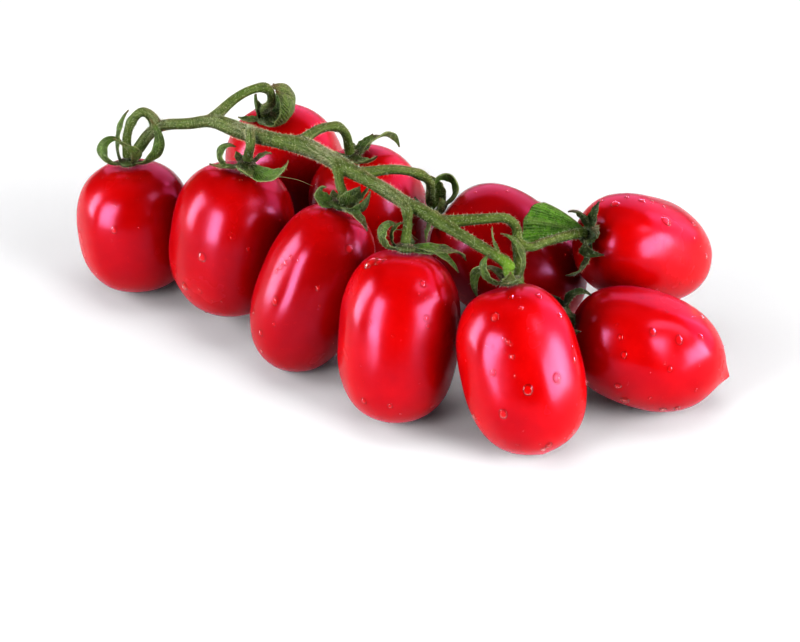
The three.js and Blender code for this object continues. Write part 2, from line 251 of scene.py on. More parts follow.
fruit_frames = {}
fruit_pieces = {}
for number, row in FRUITS.items():
    x, y, lift, heading, lean, length, width, fullness, nipple, turn = row
    axis, east, north = fruit_directions(heading, lean)
    turned = Matrix((east, north, axis)).transposed()
    draw = random.Random(int(number))
    phases = [draw.uniform(0, 2 * math.pi) for _ in CREASES]
    fruit = add_ball(FRUIT_SIDES, FRUIT_RINGS)
    fruit.name = "skin_" + number
    heights, spots, tones = add_values(fruit.data, stalkward="FLOAT", blush="FLOAT", riper="FLOAT")
    shape = (length, width, fullness, nipple, turn, phases)
    spot = skin_spot(BLUSHES[number], shape) if number in BLUSHES else None
    hollow = skin_spot(PRESSED[number], shape) if number in PRESSED else None
    for vertex in fruit.data.vertices:
        heights[vertex.index].value = vertex.co.z
        tones[vertex.index].value = SHADED_FRUITS.get(number, 0)
        point = skin_point(vertex.co, *shape)
        if spot:
            patchy = BLUSH_SHARE * (0.5 + noise.noise(point / BLUSH_PATCH))
            spots[vertex.index].value = patchy * math.exp(-((point - spot).length / BLUSH_SPAN) ** 2)
        dent = DENT_DEPTH * noise.noise(point / DENT_SPAN + Vector((DENT_SHIFT * int(number), 0, 0)))
        if hollow:
            dent -= PRESS_DEPTH * math.exp(-((point - hollow).length / PRESS_SPAN) ** 2)
        vertex.co = turned @ (point + point.normalized() * dent)
    lowest = min(vertex.co.z for vertex in fruit.data.vertices)
    middle = Vector((x, y, (lift or -FLAT_DIP) - lowest)) - FOOTPRINT_MIDDLE
    for vertex in fruit.data.vertices:
        vertex.co += middle
        vertex.co.z = max(vertex.co.z, 0)
        vertex.co *= MM
    bpy.ops.object.shade_smooth()
    fruit.data.materials.append(skin)
    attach(fruit, "root")
    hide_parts("tomato_" + number)
    turn_aside, distance = ASIDE.get(number, (0, 0))
    aside = math.radians(turn_aside)
    seat = middle + axis * (length / 2 + BOSS_LIFT)
    seat += (east * math.cos(aside) + north * math.sin(aside)) * distance
    fruit_frames[number] = (seat + FOOTPRINT_MIDDLE, axis, east, north)
    fruit_pieces[number] = fruit


# The calyces. Each is a ring of pointed green sepals on a small boss, left from the flower. They dry as the
# fruit ripens, so the blades curl, roll and twist, with a rib down the middle and thin pale edges.
BOSS_RADIUS = 2.9
BOSS_HEIGHT = 2.2
BOSS_RIDGE = 0.06  # share of the radius by which the boss is ridged, once for each sepal
BOSS_SIDES = 20
BOSS_RINGS = 12
SEPAL_ROOT = 2.1
ROOT_SHARE = 0.6
FAN_ROOT_SHARE = 0.2
FAN_REACH = 1.03
FAN_SLANT = 0.12
FAN_ROUNDING = 0.2
SEPAL_TIP_WIDTH = 0.35
SEPAL_THICKNESS = 0.42
SEPAL_STEPS = 32
SEPAL_COLUMNS = 8
FAN_COLUMNS = 28
FAN_PLEATS = 3.5
PLEAT_DEPTH = 0.6
FAN_VEINS = 9
LEAF_VEINS = 13  # from the root to the tip on each side
VEIN_SLANT = 0.3
SEPAL_CUP = 0.16  # how far the edges rise above the rib, as a share of the width
RIB_DROP = 0.2
RIB_WIDTH = 0.2  # share of the half width
RIPPLE = 0.22
RIPPLES = 3.5
RIPPLE_LEAD = 1.3  # radians by which the two edges run ahead of the wave and behind it

# heading, length, rise, curl, sway, width, twist, late where a blade is straight at first, roll at its root
SEPALS = {
    "01": [
        (238, 16, -3, 240, 0, 3.6, 80, 1.2), (350, 18, 38, 5, -125, 3.2, 40),
        (216, 16.5, 74, 62, 0, 2.6, 60), (12, 19.8, -5, 145, -10, 3.8, -80),
        (110, 5, 10, 30, 0, 3.2, 0),
    ],
    "02": [
        (235, 14.5, -25, 235, -30, 3.4, 60, 1.2), (-25, 19.5, 2, 85, 25, 4.8, 10, 2, 40),
        (251, 13, 0, 30, 30, 2.6, 0), (91, 11, 30, -60, 13, 1.6, 0), (295, 11, 5, 10, 50, 5, -30),
        (160, 4.5, 5, 40, 0, 3.2, 0),
    ],
    "03": [
        (235, 8.5, -5, 200, -20, 4.6, 0, 2, -45), (345, 13, 0, 105, -10, 2.8, -60),
        (60, 9, 30, 60, 20, 2, 0), (330, 16, 15, -40, 5, 3.4, 30, 2),
        (340, 8.5, 58, 25, 0, 5.6, 0, 1, -20), (150, 4.5, 5, 40, 0, 3.2, 0),
    ],
    "04": [
        (228, 13, -18, 215, -45, 4.6, 80), (33, 17.5, 0, -55, 62, 4, -60, 3, 50),
        (205, 9, 30, 150, 20, 1.6, 60), (35, 14, 8, -60, -30, 2.8, 40), (110, 4.5, 10, 30, 0, 3, 0),
    ],
    "05": [
        (220, 11.5, 0, 165, -10, 3.6, 70), (175, 18, 75, -190, -10, 3.8, 40),
        (30, 15, 40, 120, 0, 2.4, -80), (128, 15, 62, 50, 90, 1.8, 0, 2), (300, 10, 5, 30, 20, 3.4, 0),
    ],
    "06": [
        (345, 20.7, 0, 130, 55, 7.5, -40), (15, 21.5, -4, 175, 52, 7, -40), (185, 9.5, 72, 55, 0, 4, 60),
        (80, 12, 0, 140, -16, 5, 0), (205, 7, -10, 30, -16, 2.6, 0), (150, 5, 0, 40, 0, 3.4, 0),
    ],
    "07": [
        (75, 7, 0, 50, -5, 4.8, 0), (45, 18, 52, -150, 60, 3.6, -60), (200, 9, 5, 20, -3, 3, 0),
        (340, 11, 5, 40, 30, 3.8, -40), (130, 4.5, 0, 40, 0, 3.2, 0),
    ],
    "08": [
        (50, 17, -24, 270, 20, 3.8, 60, 1.3), (200, 8, 60, 60, 20, 2.6, 0),
        (241, 9, 40, 90, 0, 3.4, 40), (299, 14, 5, -24, -4, 3, 0), (105, 10, 25, 60, 0, 6.5, 0),
        (345, 9, 0, 40, 0, 3, 0),
    ],
    "09": [
        (70, 8, 40, -60, 30, 3.4, 0), (314, 14, 70, -97, 70, 3.4, 0), (302, 15, -4, 92, -24, 3.4, 40),
        (105, 10, 30, 90, -19, 3.4, 0), (20, 9, 15, 80, 0, 3.6, 0),
    ],
    "10": [
        (80, 12, 70, -190, 5, 3.4, 40), (190, 11, 30, -90, -30, 3, 0), (334, 10, 20, -50, 60, 3.4, 0),
        (30, 8, 20, 80, 0, 3.2, 0), (140, 9, 15, 60, 0, 3.2, 0),
    ],
}
FANS = {"09": (177, 16, 39, -15, 21, 17, 0)}  # the one sepal that widens to its end
DRY_TIPS = {("02", 2), ("03", 3)}  # sepals whose ends have browned
DRY_START = 0.45  # share of their length where the brown begins
TIP_STARTS = (0.82, 0.95)  # where it begins on the other sepals
FAN_TIP_START = 0.97
CALYX_SEED = 100

# Sepal blade: matte leaf under a fine felt of hairs. It looks gritty, dark and olive, with painted shade
# that darkens the middle of each calyx, with a fresher inner face, paler veins and edges, and tips that
# brown as they dry.
blade, blade_shader, blade_place = new_material("sepal_leaf")
across, vein_run, inner, dry, deep, fresh = (
    add_node(blade, "ShaderNodeAttribute", {"attribute_name": name}).outputs["Fac"]
    for name in ("across", "vein_run", "inner", "dry", "deep", "fresh")
)
LEAF_PATCH = 1.5 * MM
LEAF_GRIT = 0.45 * MM  # felt and glands, drawn as coarse as they need to show
patches = add_node(
    blade, "ShaderNodeTexNoise", {"Scale": 1 / LEAF_PATCH, "Detail": 3},
    {"Vector": blade_place}).outputs["Fac"]
leaf_grit = add_node(
    blade, "ShaderNodeTexNoise", {"Scale": 1 / LEAF_GRIT, "Detail": 2},
    {"Vector": blade_place}).outputs["Fac"]
patch_share = add_node(blade, "ShaderNodeMapRange", {"From Min": 0.35, "From Max": 0.65}, {"Value": patches})
outer_green, inner_green, fan_green = (
    add_node(
        blade, "ShaderNodeMix", {"data_type": "RGBA", 6: linear(dark), 7: linear(light)},
        {0: patch_share.outputs["Result"]}).outputs[2]
    for dark, light in (("263a0e", "4d6a22"), ("2f4c10", "5c8228"), ("3f7014", "6ca02e"))
)
sepal_green = add_node(
    blade, "ShaderNodeMix", {"data_type": "RGBA"}, {0: inner, 6: outer_green, 7: inner_green}).outputs[2]
green = add_node(
    blade, "ShaderNodeMix", {"data_type": "RGBA"}, {0: fresh, 6: sepal_green, 7: fan_green}).outputs[2]
off_rib = add_node(blade, "ShaderNodeMath", {"operation": "ABSOLUTE"}, {0: across}).outputs[0]
VEIN_WANDER = 0.6  # turns that a vein strays from its even place
strayed = add_node(
    blade, "ShaderNodeMath", {"operation": "MULTIPLY_ADD", 1: VEIN_WANDER},
    {0: patches, 2: vein_run}).outputs[0]
vein_turn = add_node(
    blade, "ShaderNodeMath", {"operation": "MULTIPLY", 1: 2 * math.pi}, {0: strayed}).outputs[0]
vein_wave = add_node(blade, "ShaderNodeMath", {"operation": "SINE"}, {0: vein_turn}).outputs[0]
veins = add_node(
    blade, "ShaderNodeMapRange", {"From Min": 0.3, "From Max": 1, "To Max": 0.5}, {"Value": vein_wave})
edge = add_node(
    blade, "ShaderNodeMapRange", {"From Min": 0.8, "From Max": 1, "To Max": 0.75}, {"Value": off_rib})
rib = add_node(
    blade, "ShaderNodeMapRange", {"From Min": 0.16, "From Max": 0.04, "To Max": 0.5}, {"Value": off_rib})
pale_grit = add_node(
    blade, "ShaderNodeMapRange", {"From Min": 0.6, "From Max": 0.7, "To Max": 0.5}, {"Value": leaf_grit})
dark_grit = add_node(
    blade, "ShaderNodeMapRange", {"From Min": 0.42, "From Max": 0.32, "To Max": 0.65}, {"Value": leaf_grit})
for share, tone in (
    (veins.outputs["Result"], "8ba05a"),
    (edge.outputs["Result"], "8a9662"),
    (rib.outputs["Result"], "75884c"),
    (pale_grit.outputs["Result"], "a0a87e"),
    (dark_grit.outputs["Result"], "1a2a0a"),
    (dry, "6a4f2c"),
):
    green = add_node(
        blade, "ShaderNodeMix", {"data_type": "RGBA", 7: linear(tone)}, {0: share, 6: green}).outputs[2]
shaded_leaf = add_node(
    blade, "ShaderNodeMix", {"data_type": "RGBA", "blend_type": "MULTIPLY", 7: linear("58604c")},
    {0: deep, 6: green})
link(blade, shaded_leaf.outputs[2], blade_shader, "Base Color")
leaf_relief = add_node(
    blade, "ShaderNodeMath", {"operation": "MULTIPLY_ADD", 1: 0.3}, {0: vein_wave, 2: leaf_grit}).outputs[0]
leaf_bump = add_node(
    blade, "ShaderNodeBump", {"Strength": 0.8, "Distance": 0.3 * MM}, {"Height": leaf_relief})
link(blade, leaf_bump.outputs["Normal"], blade_shader, "Normal")
blade_shader.inputs["Roughness"].default_value = 0.5
blade_shader.inputs["Specular IOR Level"].default_value = 0.3
blade_shader.inputs["Sheen Weight"].default_value = 0.08
blade_shader.inputs["Sheen Roughness"].default_value = 0.4
blade_shader.inputs["Sheen Tint"].default_value = linear("dfe6c0")
blade_shader.inputs["Subsurface Weight"].default_value = 0.08
blade_shader.inputs["Subsurface Radius"].default_value = (0.5, 1, 0.2)
blade_shader.inputs["Subsurface Scale"].default_value = 0.6 * MM


def sepal_line(seat, axis, east, north, row):
    """The midrib of a sepal as steps of middle, across and face, in millimetres."""
    heading, length, rise, curl, sway, _, twist = row[:7]
    late = row[7] if len(row) > 7 else 1
    roll = row[8] if len(row) > 8 else 0

    def outward(turn):
        return east * math.cos(math.radians(turn)) + north * math.sin(math.radians(turn))

    point = seat + outward(heading) * SEPAL_ROOT
    line = []
    for step in range(SEPAL_STEPS + 1):
        share = step / SEPAL_STEPS
        slope = math.radians(rise + curl * share ** late)
        out = outward(heading + sway * share)
        ahead = out * math.cos(slope) + axis * math.sin(slope)
        sideways = Quaternion(ahead, math.radians(roll + twist * share)) @ axis.cross(out)
        line.append((point.copy(), sideways, sideways.cross(ahead)))
        point = point + ahead * (length / SEPAL_STEPS)
    return line


def leaf_width(share, width):
    """How wide a sepal is at a share of its length: widest a third of the way, then down to a point."""
    root = math.asin(ROOT_SHARE)
    return max(SEPAL_TIP_WIDTH, width * math.sin(root + (math.pi - root) * share))


def fan_width(share, width):
    """How wide the fan is at a share of its length: narrow at the root and widest at its end."""
    return width * (FAN_ROOT_SHARE + (1 - FAN_ROOT_SHARE) * share)


def fan_reach(side):
    """How far the fan reaches from its root at one side, so that its end is a slanted curve."""
    return FAN_REACH + FAN_SLANT * side - FAN_ROUNDING * side ** 2


def make_sepal(line, width, fanned, browned, draw):
    """One blade: a grid laid along the midrib, cupped and rippled, then thickened and rounded."""
    columns = FAN_COLUMNS if fanned else SEPAL_COLUMNS
    bpy.ops.mesh.primitive_grid_add(x_subdivisions=columns, y_subdivisions=SEPAL_STEPS, size=2)
    sepal = bpy.context.object
    mesh = sepal.data
    sides, shares, runs, youths = add_values(
        mesh, across="FLOAT", along="FLOAT", vein_run="FLOAT", fresh="FLOAT")
    phase = draw.uniform(0, 2 * math.pi)
    root = line[0][0]
    for vertex in mesh.vertices:
        side = vertex.co.x
        step = round((vertex.co.y + 1) / 2 * SEPAL_STEPS)
        share = step / SEPAL_STEPS
        middle, sideways, face = line[step]
        if fanned:
            wide = fan_width(share, width)
            reach = fan_reach(side)
            rise = PLEAT_DEPTH * share * math.sin(2 * math.pi * FAN_PLEATS * side / 2 + phase)
            run = FAN_VEINS * side
        else:
            wide = leaf_width(share, width)
            reach = 1
            wave = math.sin(2 * math.pi * RIPPLES * share + phase + math.copysign(RIPPLE_LEAD, side))
            rise = SEPAL_CUP * wide * side ** 2 + RIPPLE * wave * side ** 2 * math.sin(math.pi * share)
            rise -= RIB_DROP * math.exp(-(side / RIB_WIDTH) ** 2) * (1 - share)
            run = LEAF_VEINS * (share - VEIN_SLANT * abs(side))
        place = middle + sideways * (side * wide / 2) - face * rise
        vertex.co = (root + (place - root) * reach - FOOTPRINT_MIDDLE) * MM
        sides[vertex.index].value = side
        shares[vertex.index].value = share
        runs[vertex.index].value = run
        youths[vertex.index].value = 1 if fanned else 0
    single = len(mesh.vertices)
    thicken = sepal.modifiers.new("thickness", "SOLIDIFY")
    thicken.thickness = SEPAL_THICKNESS * MM
    thicken.offset = 0
    bpy.ops.object.modifier_apply(modifier=thicken.name)
    inners, dries = add_values(sepal.data, inner="FLOAT", dry="FLOAT")
    shares = sepal.data.attributes["along"].data
    for vertex in sepal.data.vertices:
        inners[vertex.index].value = 0 if vertex.index < single else 1
        share = shares[vertex.index].value
        dries[vertex.index].value = max(0, (share - browned) / (1 - browned))
    finer = sepal.modifiers.new("rounding", "SUBSURF")
    finer.levels = finer.render_levels = 1
    bpy.ops.object.modifier_apply(modifier=finer.name)
    return sepal


def select_only(pieces):
    """Select some pieces and nothing else, with the first of them active."""
    bpy.ops.object.select_all(action="DESELECT")
    for piece in pieces:
        piece.select_set(True)
    bpy.context.view_layer.objects.active = pieces[0]


DEEP_SPAN = 4.2  # how far the shade in the middle of a calyx reaches
DARKENED = {"03": 0.3, "09": 0.75, "10": 0.75}  # calyces darkened all over, but for a fan, by the same painted shade as a calyx's middle
calyx_pieces = {}
for number, rows in SEPALS.items():
    seat, axis, east, north = fruit_frames[number]
    draw = random.Random(CALYX_SEED + int(number))
    boss = add_ball(BOSS_SIDES, BOSS_RINGS)
    turned = Matrix((east, north, axis)).transposed()
    for vertex in boss.data.vertices:
        around = math.atan2(vertex.co.y, vertex.co.x)
        ridge = 1 + BOSS_RIDGE * math.cos(len(rows) * around)
        flat = Vector((
            vertex.co.x * BOSS_RADIUS * ridge,
            vertex.co.y * BOSS_RADIUS * ridge,
            vertex.co.z * BOSS_HEIGHT / 2,
        ))
        vertex.co = (turned @ flat + seat - FOOTPRINT_MIDDLE) * MM
    blades = [boss]
    for index, row in enumerate(rows):
        browned = DRY_START if (number, index) in DRY_TIPS else draw.uniform(*TIP_STARTS)
        line = sepal_line(seat, axis, east, north, row)
        blades.append(make_sepal(line, row[5], False, browned, draw))
    if number in FANS:
        line = sepal_line(seat, axis, east, north, FANS[number])
        blades.append(make_sepal(line, FANS[number][5], True, FAN_TIP_START, draw))
    select_only(blades)
    bpy.ops.object.join()
    bpy.ops.object.shade_smooth()
    boss.name = "sepals_" + number
    calyx_shades, = add_values(boss.data, deep="FLOAT")
    youths = boss.data.attributes["fresh"].data
    # painted shade: darker near the seat of each calyx, and all over on some calyces
    for vertex in boss.data.vertices:
        off_seat = vertex.co / MM + FOOTPRINT_MIDDLE - seat
        darkened_all_over = DARKENED.get(number, 0) * (1 - youths[vertex.index].value)
        calyx_shades[vertex.index].value = max(darkened_all_over, math.exp(-(off_seat.length / DEEP_SPAN) ** 2))
    boss.data.materials.append(blade)
    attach(boss, "root")
    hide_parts("calyx_" + number)
    calyx_pieces[number] = boss


# The vine. One green stem with a stalk to each fruit, grown as one piece: every stalk flares into the stem,
# has a knuckle where a ripe fruit breaks off, and swells a little at its calyx. The stem was cut at one end.
CLEARANCE = 0.3
STALK_RADIUS = 1.2
FOOT_SWELL = 0.7
END_SWELL = 0.3
SWELL_SHARE = 0.16
KNUCKLE_SWELL = 0.3
KNUCKLE_PLACE = 0.5
KNUCKLE_SHARE = 0.05
STALK_NECK = 1.6
CURVE_STEPS = 10
SHORTEST_GAP = 0.0001  # keeps a curve through doubled points from dividing by zero
ROD_ROUNDS = 5
VINE_VOXEL = 0.32
EVENING = 0.5  # how far one round of smoothing moves a point to the middle of its neighbours
EVENING_ROUNDS = 8

# x, y, z and radius of the main stem, from its cut end to the last stalk
STEM = [
    (-86.6, -4.6, 41.6, 1.7), (-85, -1.6, 45.4, 1.6), (-82, 0.4, 48.2, 1.55), (-73, 2.2, 51, 1.7),
    (-66.8, 4.7, 52.5, 2.3), (-55.3, 5.3, 52.2, 2.2), (-44.2, 5.7, 53, 2.05), (-36.3, 6.5, 53.5, 2.5),
    (-27.9, 6.5, 52.5, 2.15), (-18.1, 4.7, 52, 2.2), (-8.7, 3.1, 51.5, 1.75), (-0.9, 1.5, 51, 1.9),
    (7.3, 1, 50, 1.65), (15.9, -0.2, 49, 2), (24, -0.6, 47.5, 1.5), (31.3, -0.8, 46, 1.5),
    (33.6, -0.4, 45, 1.4),
]

# points of each stalk, from the stem to just above its calyx
STALKS = {
    "01": [(-83.4, 0.3, 47.8), (-85, -0.4, 51), (-86.6, -1.9, 52.2), (-88.4, -4, 50), (-89.6, -5.4, 45)],
    "02": [(-54.8, 6.1, 52.8), (-52, 2.8, 54), (-50.2, 0.6, 52)],
    "03": [(-30, 6.8, 52.8), (-24.8, 4.8, 53), (-21.8, 2.4, 51.4), (-20, 0.6, 49.6)],
    "04": [(-3.2, 2.2, 51), (2.2, -0.6, 50.8), (5.8, -4.6, 49)],
    "05": [(33, -0.4, 45.2), (35.2, -1.2, 45)],
    "06": [
        (-67.6, 5, 52.4), (-65.3, 13.2, 56.6), (-63.2, 17.7, 58), (-61.8, 21.2, 57.6),
        (-61.6, 23.7, 55), (-63.3, 25.8, 50.5),
    ],
    "07": [(-38.6, 7, 53.6), (-36.2, 13, 56), (-34.2, 18.4, 55), (-34, 21.8, 51.2)],
    "08": [(-16.9, 4.9, 52), (-11.8, 12.6, 51.6), (-8.7, 19.2, 48.6), (-7.5, 23.6, 44.6)],
    "09": [
        (13.2, 1, 49.2), (20.5, 6.7, 50), (25.3, 12.4, 49), (27.6, 13.2, 46.5),
        (29.6, 10.9, 44), (32.3, 12.5, 43), (33.5, 17.6, 42.5),
    ],
    "10": [(29.8, 11, 44), (30.4, 10.2, 39), (31, 10, 33), (35.6, 9.4, 27)],
}


def smooth_line(points):
    """Points along the centripetal Catmull-Rom curve through given points, each with how far along it is."""
    points = [Vector(point) for point in points]
    padded = [2 * points[0] - points[1], *points, 2 * points[-1] - points[-2]]
    line = [points[0]]
    for before, start, end, after in zip(padded, padded[1:], padded[2:], padded[3:]):
        pairs = ((before, start), (start, end), (end, after))
        gaps = [max((b - a).length, SHORTEST_GAP) ** 0.5 for a, b in pairs]
        leave = (start - before) / gaps[0] - (end - before) / (gaps[0] + gaps[1]) + (end - start) / gaps[1]
        arrive = (end - start) / gaps[1] - (after - start) / (gaps[1] + gaps[2]) + (after - end) / gaps[2]
        for step in range(1, CURVE_STEPS + 1):
            t = step / CURVE_STEPS
            line.append(
                start * (2 * t ** 3 - 3 * t ** 2 + 1)
                + leave * gaps[1] * (t ** 3 - 2 * t ** 2 + t)
                + end * (3 * t ** 2 - 2 * t ** 3)
                + arrive * gaps[1] * (t ** 3 - t ** 2)
            )
    travelled = [0]
    for start, end in zip(line, line[1:]):
        travelled.append(travelled[-1] + (end - start).length)
    return [(point, gone / travelled[-1], gone) for point, gone in zip(line, travelled)]


def stem_radius(share):
    """The radius of the main stem at a share of its length."""
    place = share * (len(STEM) - 1)
    index = min(int(place), len(STEM) - 2)
    return STEM[index][3] + (STEM[index + 1][3] - STEM[index][3]) * (place - index)


def stalk_radius(share):
    """The radius of a stalk at a share of its length, with its swollen foot, knuckle and end."""
    foot = FOOT_SWELL * math.exp(-share / SWELL_SHARE)
    end = END_SWELL * math.exp((share - 1) / SWELL_SHARE)
    knuckle = KNUCKLE_SWELL * math.exp(-((share - KNUCKLE_PLACE) / KNUCKLE_SHARE) ** 2)
    return STALK_RADIUS + foot + end + knuckle


def make_rod(line, radius_at):
    """A round rod of changing radius along a line: a curve with a bevel, made a mesh."""
    curve = bpy.data.curves.new("rod", "CURVE")
    curve.dimensions = "3D"
    curve.bevel_depth = MM
    curve.bevel_resolution = ROD_ROUNDS
    curve.use_fill_caps = True
    spline = curve.splines.new("POLY")
    spline.points.add(len(line) - 1)
    for knot, (point, share, _) in zip(spline.points, line):
        knot.co = (*((point - FOOTPRINT_MIDDLE) * MM), 1)
        knot.radius = radius_at(share)
    rod = bpy.data.objects.new("rod", curve)
    bpy.context.collection.objects.link(rod)
    return rod


vine_lines = [smooth_line([row[:3] for row in STEM])]
rods = [make_rod(vine_lines[0], stem_radius)]
for number, stalk in STALKS.items():
    seat, axis, _, _ = fruit_frames[number]
    top = BOSS_HEIGHT / 2 + CLEARANCE
    ending = [seat + axis * (top + STALK_NECK), seat + axis * top]
    vine_lines.append(smooth_line([*stalk, *ending]))
    rods.append(make_rod(vine_lines[-1], stalk_radius))
select_only(rods)
bpy.ops.object.convert(target="MESH")
bpy.ops.object.join()
vine = bpy.context.object
vine.name = "vine_stem"
grown = vine.modifiers.new("grown together", "REMESH")
grown.mode = "VOXEL"
grown.voxel_size = VINE_VOXEL * MM
bpy.ops.object.modifier_apply(modifier=grown.name)
even = vine.modifiers.new("evened", "SMOOTH")
even.factor = EVENING
even.iterations = EVENING_ROUNDS
bpy.ops.object.modifier_apply(modifier=even.name)
bpy.ops.object.shade_smooth()

# Where each point of the vine lies: round its own stem and along it, near a foot, or on the young tip.
knots = [
    (point, ahead, gone)
    for line in vine_lines
    for (point, _, gone), (ahead, _, _) in zip(line, [*line[1:], line[-1]])
]
tree = KDTree(len(knots))
for index, (point, _, _) in enumerate(knots):
    tree.insert((point - FOOTPRINT_MIDDLE) * MM, index)
tree.balance()
FELTED = {"01": 0.7, "02": 1.0, "03": 1.0, "04": 0.5, "06": 0.4}  # feet with a dense grey felt of hairs
FELT_SPAN = 5.5
YOUNG_SPAN = 3.5  # how far the young green reaches round the top of the last stalk
grain, felt, young, under = add_values(
    vine.data, grain="FLOAT_VECTOR", felt="FLOAT", young="FLOAT", under="FLOAT")
tip = Vector(STALKS["05"][1])
for vertex in vine.data.vertices:
    _, index, _ = tree.find(vertex.co)
    point, ahead, gone = knots[index]
    here = vertex.co / MM + FOOTPRINT_MIDDLE
    forward = (ahead - point).normalized() if (ahead - point).length > 0 else Vector((1, 0, 0))
    out = here - point
    out = (out - forward * out.dot(forward)).normalized()
    sideways = forward.cross(Vector((0, 0, 1))).normalized()
    grain[vertex.index].vector = (out.dot(sideways), out.dot(sideways.cross(forward)), gone)
    felt[vertex.index].value = max(
        weight * math.exp(-((here - Vector(STALKS[foot][0])).length / FELT_SPAN) ** 2)
        for foot, weight in FELTED.items()
    )
    young[vertex.index].value = math.exp(-((here - tip).length / YOUNG_SPAN) ** 2)
    # how far the point faces down, which sets the painted shade on the underside
    under[vertex.index].value = max(0, -out.z)

# Tomato stem: ridged green bark under short glandular hairs. It looks matte, gritty and a little dusty, with
# painted shade that darkens it below, greyed where the hairs are dense and bright yellow-green where the
# stem is young.
bark, bark_shader, bark_place = new_material("green_stem")
grain_place = add_node(bark, "ShaderNodeAttribute", {"attribute_name": "grain"}).outputs["Vector"]
RIDGES = 3.2  # noise cells across the radius
GRAIN_LENGTH = 8  # millimetres that a streak runs
streak_place = add_node(
    bark, "ShaderNodeVectorMath", {"operation": "MULTIPLY", 1: (RIDGES, RIDGES, 1 / GRAIN_LENGTH)},
    {0: grain_place}).outputs[0]
streaks = add_node(
    bark, "ShaderNodeTexNoise", {"Scale": 1, "Detail": 4}, {"Vector": streak_place}).outputs["Fac"]
MOTTLE = 2.2 * MM
GRIT = 0.4 * MM  # glands and hair feet, drawn as coarse as they need to show
mottle = add_node(
    bark, "ShaderNodeTexNoise", {"Scale": 1 / MOTTLE, "Detail": 4}, {"Vector": bark_place}).outputs["Fac"]
grit = add_node(
    bark, "ShaderNodeTexNoise", {"Scale": 1 / GRIT, "Detail": 2}, {"Vector": bark_place}).outputs["Fac"]
streak_share = add_node(bark, "ShaderNodeMapRange", {"From Min": 0.35, "From Max": 0.65}, {"Value": streaks})
felt_share, young_share, painted_shade_below = (
    add_node(bark, "ShaderNodeAttribute", {"attribute_name": name}).outputs["Fac"]
    for name in ("felt", "young", "under")
)
mottle_share = add_node(
    bark, "ShaderNodeMapRange", {"From Min": 0.5, "From Max": 0.7, "To Max": 0.6}, {"Value": mottle})
felt_patch = add_node(
    bark, "ShaderNodeMath", {"operation": "MULTIPLY"}, {0: felt_share, 1: streak_share.outputs["Result"]})
pale_share = add_node(
    bark, "ShaderNodeMapRange", {"From Min": 0.58, "From Max": 0.7, "To Max": 0.38}, {"Value": grit})
dark_share = add_node(
    bark, "ShaderNodeMapRange", {"From Min": 0.44, "From Max": 0.32, "To Max": 0.45}, {"Value": grit})
bark_green = add_node(
    bark, "ShaderNodeMix", {"data_type": "RGBA", 6: linear("44541f"), 7: linear("5e7030")},
    {0: streak_share.outputs["Result"]}).outputs[2]
for share, tone in (
    (mottle_share.outputs["Result"], "2a3c12"),
    (young_share, "6c8f28"),
    (felt_patch.outputs[0], "8c8a72"),
    (pale_share.outputs["Result"], "a4a886"),
    (dark_share.outputs["Result"], "22320e"),
):
    bark_green = add_node(
        bark, "ShaderNodeMix", {"data_type": "RGBA", 7: linear(tone)}, {0: share, 6: bark_green}).outputs[2]
# painted shade: the underside is darkened
shaded = add_node(
    bark, "ShaderNodeMix", {"data_type": "RGBA", "blend_type": "MULTIPLY", 7: linear("5e5e4a")},
    {0: painted_shade_below, 6: bark_green})
link(bark, shaded.outputs[2], bark_shader, "Base Color")
bark_relief = add_node(
    bark, "ShaderNodeMath", {"operation": "MULTIPLY_ADD", 1: 1.2}, {0: grit, 2: streaks}).outputs[0]
bark_bump = add_node(
    bark, "ShaderNodeBump", {"Strength": 0.7, "Distance": 0.22 * MM}, {"Height": bark_relief})
link(bark, bark_bump.outputs["Normal"], bark_shader, "Normal")
bark_shader.inputs["Roughness"].default_value = 0.6
bark_shader.inputs["Specular IOR Level"].default_value = 0.2
bark_shader.inputs["Sheen Weight"].default_value = 0.12
bark_shader.inputs["Sheen Roughness"].default_value = 0.35
bark_shader.inputs["Sheen Tint"].default_value = linear("e4e8cc")
vine.data.materials.append(bark)
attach(vine, "root")
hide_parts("vine")


# The hairs. Stem and sepals carry short, fine, pale hairs that stand off the surface. Each is a slim
# three-sided spike with its foot sunk in, and they show as a soft light rim along the edges.
HAIR_FOOT = 0.04
HAIR_LENGTHS = (0.35, 1)
HAIR_LEAN = 0.3  # spread of the lean away from the surface's own upright
HAIR_SINK = 0.1
VINE_HAIRS = 10000
CALYX_HAIRS = 800
FELT_HAIRS = 3  # how many times more hairs stand where the felt is dense
VINE_HAIR_SEED = 11
CALYX_HAIR_SEED = 20

# Plant hair: clear, tapering threads that catch the light. They look pale, some greener and some greyer.
hair, hair_shader, hair_place = new_material("plant_hair")
HAIR_PATCH = 1.2 * MM
hair_tone = add_node(hair, "ShaderNodeTexNoise", {"Scale": 1 / HAIR_PATCH}, {"Vector": hair_place})
hair_share = add_node(
    hair, "ShaderNodeMapRange", {"From Min": 0.35, "From Max": 0.65}, {"Value": hair_tone.outputs["Fac"]})
hair_colour = add_node(
    hair, "ShaderNodeMix", {"data_type": "RGBA", 6: linear("b4bc90"), 7: linear("cfd0ba")},
    {0: hair_share.outputs["Result"]})
link(hair, hair_colour.outputs[2], hair_shader, "Base Color")
hair_shader.inputs["Roughness"].default_value = 0.45
hair_shader.inputs["Subsurface Weight"].default_value = 0.3
hair_shader.inputs["Subsurface Scale"].default_value = 0.2 * MM


